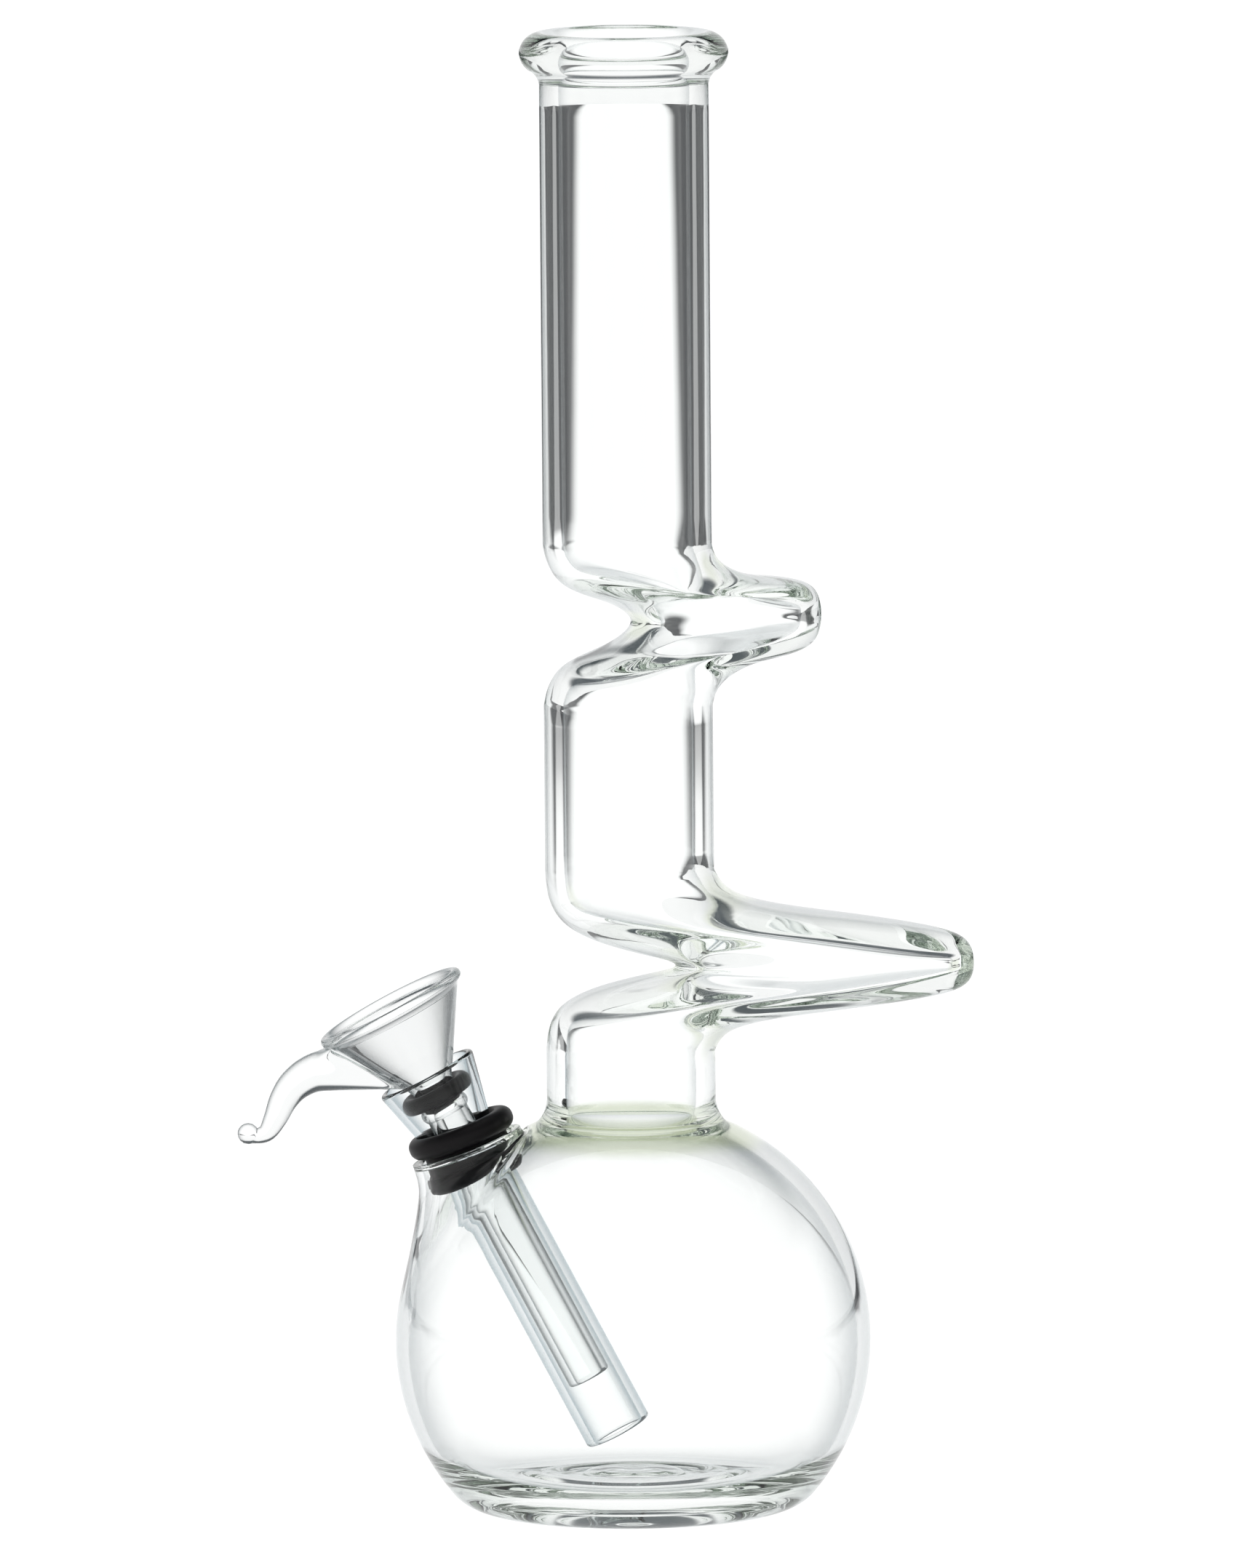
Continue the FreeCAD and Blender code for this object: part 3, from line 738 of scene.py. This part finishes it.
def weld_horn(mesh, rings):
    """Opens the bowl's skin under the horn and welds the horn's skin to it."""
    into = STEM.inverted()
    patch = []
    for face in mesh.faces:
        spot = into @ face.calc_center_median()
        radius = math.hypot(spot.x, spot.y)
        skin = SLIDE_RADIUS + (spot.z - CONE_START) * CONE_SLOPE
        if (
            CONE_START + 0.0022 < spot.z < BOWL_TOP - 2 * BEAD - 0.0004
            and abs(radius - skin) < 0.0003
            and abs(math.atan2(spot.y, -spot.x)) < math.radians(22)
        ):
            patch.append(face)
    bmesh.ops.delete(mesh, geom=patch, context="FACES")
    hole = [e for e in mesh.edges if e.is_boundary]
    first = unit_ring(mesh, len(hole), rings[0])
    cap_off(mesh, climb(mesh, first, rings))
    bridge = bmesh.ops.bridge_loops(mesh, edges=hole + first)
    rails = [e for e in bridge["edges"] if e not in hole and e not in first]
    web = bmesh.ops.subdivide_edges(mesh, edges=rails, cuts=6, use_grid_fill=True)
    soft = {v for e in web["geom_inner"] if isinstance(e, bmesh.types.BMEdge) for v in e.verts}
    ends = {v for e in hole for v in e.verts}
    soften(mesh, [v for v in soft if v not in ends], 8)


class PIPE_OT_slide(bpy.types.Operator):
    """Work the slide: tube, bowl with a beaded rim, and horn handle"""

    bl_idname = "pipe.slide"
    bl_label = "Slide"

    def execute(self, context):
        sizes = context.scene.pipe_stem
        tube, bore, bowl = sizes.slide_radius, sizes.slide_bore, sizes.bowl_radius
        wall = tube - bore
        maria = RING_PLACE - RING_SECTION - 0.0016
        mesh = bmesh.new()
        turn_outline(
            mesh,
            [
                (bore + wall / 2, SLIDE_START, -wall / 2 * 1.001),
                (tube, SLIDE_START + wall / 2),
                (tube, maria - 0.0014, -0.0016),
                (0.0052, maria, -0.0016),
                (tube, maria + 0.0014),
                *between((tube, CONE_START), (bowl - BEAD, BOWL_TOP - 2 * BEAD), CONE_ROWS),
                (bowl - BEAD, BOWL_TOP - 2 * BEAD, -BEAD),
                (bowl, BOWL_TOP - BEAD, -BEAD),
                (bowl - BEAD, BOWL_TOP, -BEAD),
                (bowl - 2 * BEAD, BOWL_TOP - BEAD),
                (bowl - BEAD - 0.0015, BOWL_TOP - 2 * BEAD - 0.0004),
                (bore, CONE_START + 0.0008),
                (bore, SLIDE_START + wall / 2, -wall / 2 * 1.001),
            ],
        )
        bmesh.ops.transform(mesh, matrix=STEM, verts=mesh.verts)
        weld_horn(mesh, horn_rings(sizes.horn_radius, 0.0015, 0.0022)[HORN_FREE:])
        # The last two numbers are the colour of the painted edge shade, then where it comes in and
        # where it is full.
        glass = clear_glass("slide_glass", sizes.tint, 0.04, (0.08, 0.095, 0.10), (0.12, 0.72))
        nodes = ["slide_tube", "bowl_cone", "horn_handle"]
        finished("slide", mesh, glass, "slide", nodes)
        return {"FINISHED"}


# ---------------------------------------------------------------- materials


def node(tree, kind, **values):
    """A node with its sockets or settings set; a tuple of (node, socket) is linked."""
    made = tree.nodes.new(kind)
    for name, given in values.items():
        if hasattr(made, name) and name not in made.inputs:
            setattr(made, name, given)
            continue
        socket = made.inputs[int(name[1:])] if name[0] == "i" and name[1:].isdigit() else None
        socket = socket or made.inputs[name.replace("_", " ")]
        if isinstance(given, bpy.types.NodeSocket):
            tree.links.new(given, socket)
        else:
            socket.default_value = given
    return made


def maths(tree, operation, *given):
    """The value of a maths node fed with numbers and sockets."""
    fed = {f"i{index}": value for index, value in enumerate(given)}
    return node(tree, "ShaderNodeMath", operation=operation, **fed).outputs[0]


def distance(tree, place, spot):
    """How far a place is from a fixed spot."""
    away = node(tree, "ShaderNodeVectorMath", operation="DISTANCE", i0=place, i1=spot)
    return away.outputs["Value"]


def ramp(tree, value, dark, white):
    """A mask that eases from 0 at dark to 1 at white, whichever of the two is greater."""
    return node(
        tree,
        "ShaderNodeMapRange",
        interpolation_type="SMOOTHSTEP",
        Value=value,
        From_Min=dark,
        From_Max=white,
    ).outputs[0]


def blend(tree, share, first, second):
    """A colour mixed from first to second by share."""
    mixed = node(tree, "ShaderNodeMix", data_type="RGBA", i0=share, i6=first, i7=second)
    return mixed.outputs[2]


def new_group(name, inputs, outputs):
    """An empty node group with its sockets, then what it is given and what it puts out."""
    group = bpy.data.node_groups.new(name, "ShaderNodeTree")
    for way, sockets in (("INPUT", inputs), ("OUTPUT", outputs)):
        for socket, kind in sockets.items():
            group.interface.new_socket(socket, in_out=way, socket_type=kind)
    given = group.nodes.new("NodeGroupInput").outputs
    return group, given, group.nodes.new("NodeGroupOutput").inputs


def blank_material(name):
    """A material with a cleared tree, and the object's own coordinates in it."""
    material = bpy.data.materials.new(name)
    material.use_nodes = True
    tree = material.node_tree
    tree.nodes.clear()
    return material, tree, node(tree, "ShaderNodeTexCoord").outputs["Object"]


# The green ring where the neck is welded on: its height, then where it starts and is full, out
# from its middle and off its height.
WELD_HEIGHT = 0.0785
WELD_REACH = (0.0290, 0.0240)
WELD_BAND = (0.0046, 0.0022)
# The share of a fold's reach that is full.
FOLD_CORE = 0.35

# Middles and reaches of the folds and gathers, in millimetres.
FOLDS = [
    (9.0, 0.0, 116.0, 7.5),
    (9.0, 0.0, 108.8, 7.0),
    (19.5, 0.0, 127.0, 8.0),
    (19.0, 0.0, 99.0, 8.5),
    (71.5, 0.0, 109.5, 7.5),
    (2.0, 0.0, 183.0, 5.0),
    (-11.0, 0.0, 127.0, 5.0),
    (18.0, 0.0, 196.0, 4.0),
]


GLASS_IOR = 1.474
GLASS_DENSITY = 9.0
CLEAR = (0.990, 0.996, 0.995, 1)
FOLD_GREEN = (0.70, 0.74, 0.62, 1)


def drawn_glass_group():
    """Slow waves and long draw lines of hand-worked glass, as a normal."""
    name = "Drawn glass"
    if name in bpy.data.node_groups:
        return bpy.data.node_groups[name]
    group, given, put = new_group(
        name,
        {"Vector": "NodeSocketVector", "Wave": "NodeSocketFloat"},
        {"Normal": "NodeSocketVector"},
    )
    slow = node(group, "ShaderNodeTexNoise", Vector=given["Vector"], Scale=42.0, Detail=1.5)
    stretch = node(
        group, "ShaderNodeMapping", Vector=given["Vector"], Scale=(260.0, 260.0, 14.0)
    )
    lines = node(group, "ShaderNodeTexNoise", Vector=stretch.outputs[0], Scale=1.0, Detail=2.0)
    mixed = maths(group, "MULTIPLY_ADD", lines.outputs["Fac"], 0.03, slow.outputs["Fac"])
    bump = node(group, "ShaderNodeBump", Strength=given["Wave"], Distance=0.0006, Height=mixed)
    group.links.new(bump.outputs["Normal"], put["Normal"])
    return group


def gathered_glass_group():
    """Where worked glass is folded or gathered thick, as a mask that is 1 in the folds."""
    name = "Gathered glass"
    if name in bpy.data.node_groups:
        return bpy.data.node_groups[name]
    group, given, put = new_group(
        name, {"Vector": "NodeSocketVector"}, {"Fold": "NodeSocketFloat"}
    )
    place = given["Vector"]
    near_weld = ramp(group, distance(group, place, (0, 0, WELD_HEIGHT)), *WELD_REACH)
    height = node(group, "ShaderNodeSeparateXYZ", Vector=place).outputs[2]
    off_weld = maths(group, "ABSOLUTE", maths(group, "SUBTRACT", height, WELD_HEIGHT))
    mask = maths(group, "MULTIPLY", near_weld, ramp(group, off_weld, *WELD_BAND))
    for x, y, z, reach in FOLDS:
        away = distance(group, place, (x * MM, y * MM, z * MM))
        spot = ramp(group, away, reach * MM, reach * MM * FOLD_CORE)
        mask = maths(group, "MAXIMUM", spot, mask)
    group.links.new(mask, put["Fold"])
    return group


def clear_glass(name, tint, wave, painted_edge_shade, painted_shade_reach):
    """Clear glass that greens with its thickness, with slow waves and draw lines, and painted shade
    that darkens its edges.

    The painted edge shade comes in as the skin turns away, over the given reach from nothing to
    full.
    """
    material, tree, place = blank_material(name)
    drawn = node(tree, "ShaderNodeGroup", node_tree=drawn_glass_group(), Vector=place, Wave=wave)
    gathered = node(tree, "ShaderNodeGroup", node_tree=gathered_glass_group(), Vector=place)
    # Painted shade: the base colour darkens towards the outline as the skin turns away. It stands
    # in for the dark edges that glass shows where it refracts dark surroundings.
    facing = node(tree, "ShaderNodeLayerWeight", Blend=0.5).outputs["Facing"]
    clear = blend(tree, ramp(tree, facing, *painted_shade_reach), CLEAR, (*painted_edge_shade, 1))
    glass = node(
        tree,
        "ShaderNodeBsdfPrincipled",
        Base_Color=blend(tree, gathered.outputs["Fold"], clear, FOLD_GREEN),
        Roughness=0.0,
        IOR=GLASS_IOR,
        Normal=drawn.outputs["Normal"],
        Transmission_Weight=1.0,
        Specular_Tint=(0.35, 0.35, 0.35, 1),
    )
    depth = node(tree, "ShaderNodeVolumeAbsorption", Color=(*tint, 1), Density=GLASS_DENSITY)
    node(tree, "ShaderNodeOutputMaterial", Surface=glass.outputs[0], Volume=depth.outputs[0])
    return material


def black_rubber(name, colour, roughness):
    """Satin moulded rubber with a faint grain and slightly paler clouds in it."""
    material, tree, place = blank_material(name)
    grain = node(tree, "ShaderNodeTexNoise", Vector=place, Scale=2600.0, Detail=3.0)
    cloud = node(tree, "ShaderNodeTexNoise", Vector=place, Scale=180.0, Detail=3.0).outputs["Fac"]
    pale = [channel * 2.2 for channel in colour]
    bump = node(
        tree, "ShaderNodeBump", Strength=0.25, Distance=0.00006, Height=grain.outputs["Fac"]
    )
    skin = node(
        tree,
        "ShaderNodeBsdfPrincipled",
        Base_Color=blend(tree, cloud, (*colour, 1), (*pale, 1)),
        Roughness=maths(tree, "MULTIPLY_ADD", cloud, 0.25, roughness - 0.12),
        IOR=1.5,
        Normal=bump.outputs[0],
        Specular_IOR_Level=0.10,
    )
    node(tree, "ShaderNodeOutputMaterial", Surface=skin.outputs[0])
    return material


# ---------------------------------------------------------------- studio

# Where the floor is dim and where it is lit, in metres: out from the foot, off the axes, off
# the diagonals, and how far along the diagonals fade and to what share.
FOOT_LIGHT = (0.34, 0.20)
AXIS_LIGHT = (0.56, 0.22)
DIAGONAL_LIGHT = (0.34, 0.16)
DIAGONAL_FADE = (1.45, 1.15)
DIAGONAL_REST = 0.35
STRIP_SPREAD = 0.08
# Where the world's walls and the lamp above them are dark and where they are pale.
WALLS = (0.50, 0.34)
LAMP = (0.80, 0.93)

BOUNCES = 40
FLOOR_DROP = 0.0003
CAMERA_TARGET = Vector((-0.0003, 0, 0.150))
CAMERA_DISTANCE = 3.906
CAMERA_PITCH = math.radians(6.8)
CAMERA_ROLL = math.radians(-0.43)


def lit_ways(tree, place):
    """Where the floor is lit: round the foot, along both axes and, near by, both diagonals."""
    far = node(tree, "ShaderNodeVectorMath", operation="LENGTH", i0=place).outputs["Value"]
    flat = node(tree, "ShaderNodeVectorMath", operation="ABSOLUTE", i0=place).outputs[0]
    parts = node(tree, "ShaderNodeSeparateXYZ", Vector=flat).outputs
    least = maths(tree, "MINIMUM", parts[0], parts[1])
    most = maths(tree, "MAXIMUM", parts[0], parts[1])
    ways = ((least, AXIS_LIGHT), (maths(tree, "SUBTRACT", most, least), DIAGONAL_LIGHT))
    axes, diagonals = [
        ramp(tree, maths(tree, "MULTIPLY_ADD", most, -STRIP_SPREAD, off_way), *light)
        for off_way, light in ways
    ]
    near = ramp(tree, far, *DIAGONAL_FADE)
    fading = maths(tree, "MULTIPLY_ADD", near, 1 - DIAGONAL_REST, DIAGONAL_REST)
    strips = maths(tree, "MAXIMUM", axes, maths(tree, "MULTIPLY", diagonals, fading))
    return maths(tree, "MAXIMUM", strips, ramp(tree, far, *FOOT_LIGHT))


def white_paper(studio):
    """The floor's glowing sheet, dim beside the lit ways."""
    material, tree, place = blank_material("white_paper")
    sheet = node(
        tree,
        "ShaderNodeBsdfPrincipled",
        Base_Color=(0.1, 0.1, 0.1, 1),
        Roughness=0.9,
        Specular_IOR_Level=0.0,
        Emission_Color=blend(
            tree, lit_ways(tree, place), (*studio.dim, 1), (*studio.white, 1)
        ),
        Emission_Strength=1.05,
    )
    node(tree, "ShaderNodeOutputMaterial", Surface=sheet.outputs[0])
    return material


def studio_world(studio):
    """Pale walls, a dark gap above them and a pale lamp overhead."""
    world = bpy.data.worlds.new("studio")
    world.use_nodes = True
    tree = world.node_tree
    tree.nodes.clear()
    place = node(tree, "ShaderNodeTexCoord").outputs["Generated"]
    height = node(tree, "ShaderNodeSeparateXYZ", Vector=place).outputs[2]
    mask = maths(tree, "MAXIMUM", ramp(tree, height, *WALLS), ramp(tree, height, *LAMP))
    tone = blend(tree, mask, (*studio.gap, 1), (*studio.white, 1))
    glow = node(tree, "ShaderNodeBackground", Color=tone, Strength=1.0)
    node(tree, "ShaderNodeOutputWorld", Surface=glow.outputs[0])
    return world


def studio_camera():
    """A long lens in front of the pipe and a little above its middle."""
    lens = bpy.data.cameras.new("camera")
    lens.sensor_fit = "VERTICAL"
    lens.sensor_height = 24.0
    lens.lens = 291.0
    lens.clip_end = 100.0
    camera = bpy.data.objects.new("camera", lens)
    way = Vector((0, -math.cos(CAMERA_PITCH), math.sin(CAMERA_PITCH)))
    spot = CAMERA_TARGET + CAMERA_DISTANCE * way
    tilt = Matrix.Rotation(math.radians(90) - CAMERA_PITCH, 4, "X")
    camera.matrix_world = (
        Matrix.Translation(spot) @ tilt @ Matrix.Rotation(CAMERA_ROLL, 4, "Z")
    )
    return camera


class PIPE_OT_stage(bpy.types.Operator):
    """Set up the floor, the soft light and the camera"""

    bl_idname = "pipe.stage"
    bl_label = "Studio"

    def execute(self, context):
        studio = context.scene.pipe_studio
        scene = context.scene
        scene.view_settings.view_transform = "Standard"
        scene.cycles.max_bounces = BOUNCES
        scene.cycles.glossy_bounces = BOUNCES
        scene.cycles.transmission_bounces = BOUNCES
        scene.cycles.transparent_max_bounces = BOUNCES
        mesh = bmesh.new()
        bmesh.ops.create_grid(mesh, x_segments=1, y_segments=1, size=studio.floor_size / 2)
        bmesh.ops.translate(mesh, vec=(0, 0, -FLOOR_DROP), verts=mesh.verts)
        placed("floor", mesh, white_paper(studio))
        scene.world = studio_world(studio)
        camera = studio_camera()
        scene.collection.objects.link(camera)
        scene.camera = camera
        return {"FINISHED"}


# ---------------------------------------------------------------- sidebar


class PIPE_PT_sidebar(bpy.types.Panel):
    """Sizes, colours and the operators that build the pipe"""

    bl_label = "Glass Water Pipe"
    bl_idname = "PIPE_PT_sidebar"
    bl_space_type = "VIEW_3D"
    bl_region_type = "UI"
    bl_category = "Pipe"

    def draw(self, context):
        for name in GROUPS:
            group = getattr(context.scene, name)
            box = self.layout.box()
            for row in type(group).__annotations__:
                box.prop(group, row)
        for operator in OPERATORS:
            self.layout.operator(operator.bl_idname)


GROUPS = {
    "pipe_vessel": PipeVessel,
    "pipe_stem": PipeStem,
    "pipe_rubber": PipeRubber,
    "pipe_studio": PipeStudio,
}
OPERATORS = (
    PIPE_OT_stage,
    PIPE_OT_vessel,
    PIPE_OT_grommet,
    PIPE_OT_downstem,
    PIPE_OT_o_ring,
    PIPE_OT_slide,
)


def register():
    """Makes the groups, the operators and the panel known."""
    for item in (*GROUPS.values(), *OPERATORS, PIPE_PT_sidebar):
        bpy.utils.register_class(item)
    for name, group in GROUPS.items():
        setattr(bpy.types.Scene, name, bpy.props.PointerProperty(type=group))


def unregister():
    """Takes them away again."""
    for name in GROUPS:
        delattr(bpy.types.Scene, name)
    for item in (PIPE_PT_sidebar, *reversed(OPERATORS), *reversed(GROUPS.values())):
        bpy.utils.unregister_class(item)


def main():
    """Builds everything."""
    register()
    bpy.ops.pipe.stage()
    bpy.ops.pipe.vessel()
    bpy.ops.pipe.grommet()
    bpy.ops.pipe.downstem()
    bpy.ops.pipe.o_ring()
    bpy.ops.pipe.slide()


if __name__ == "__main__":
    main()
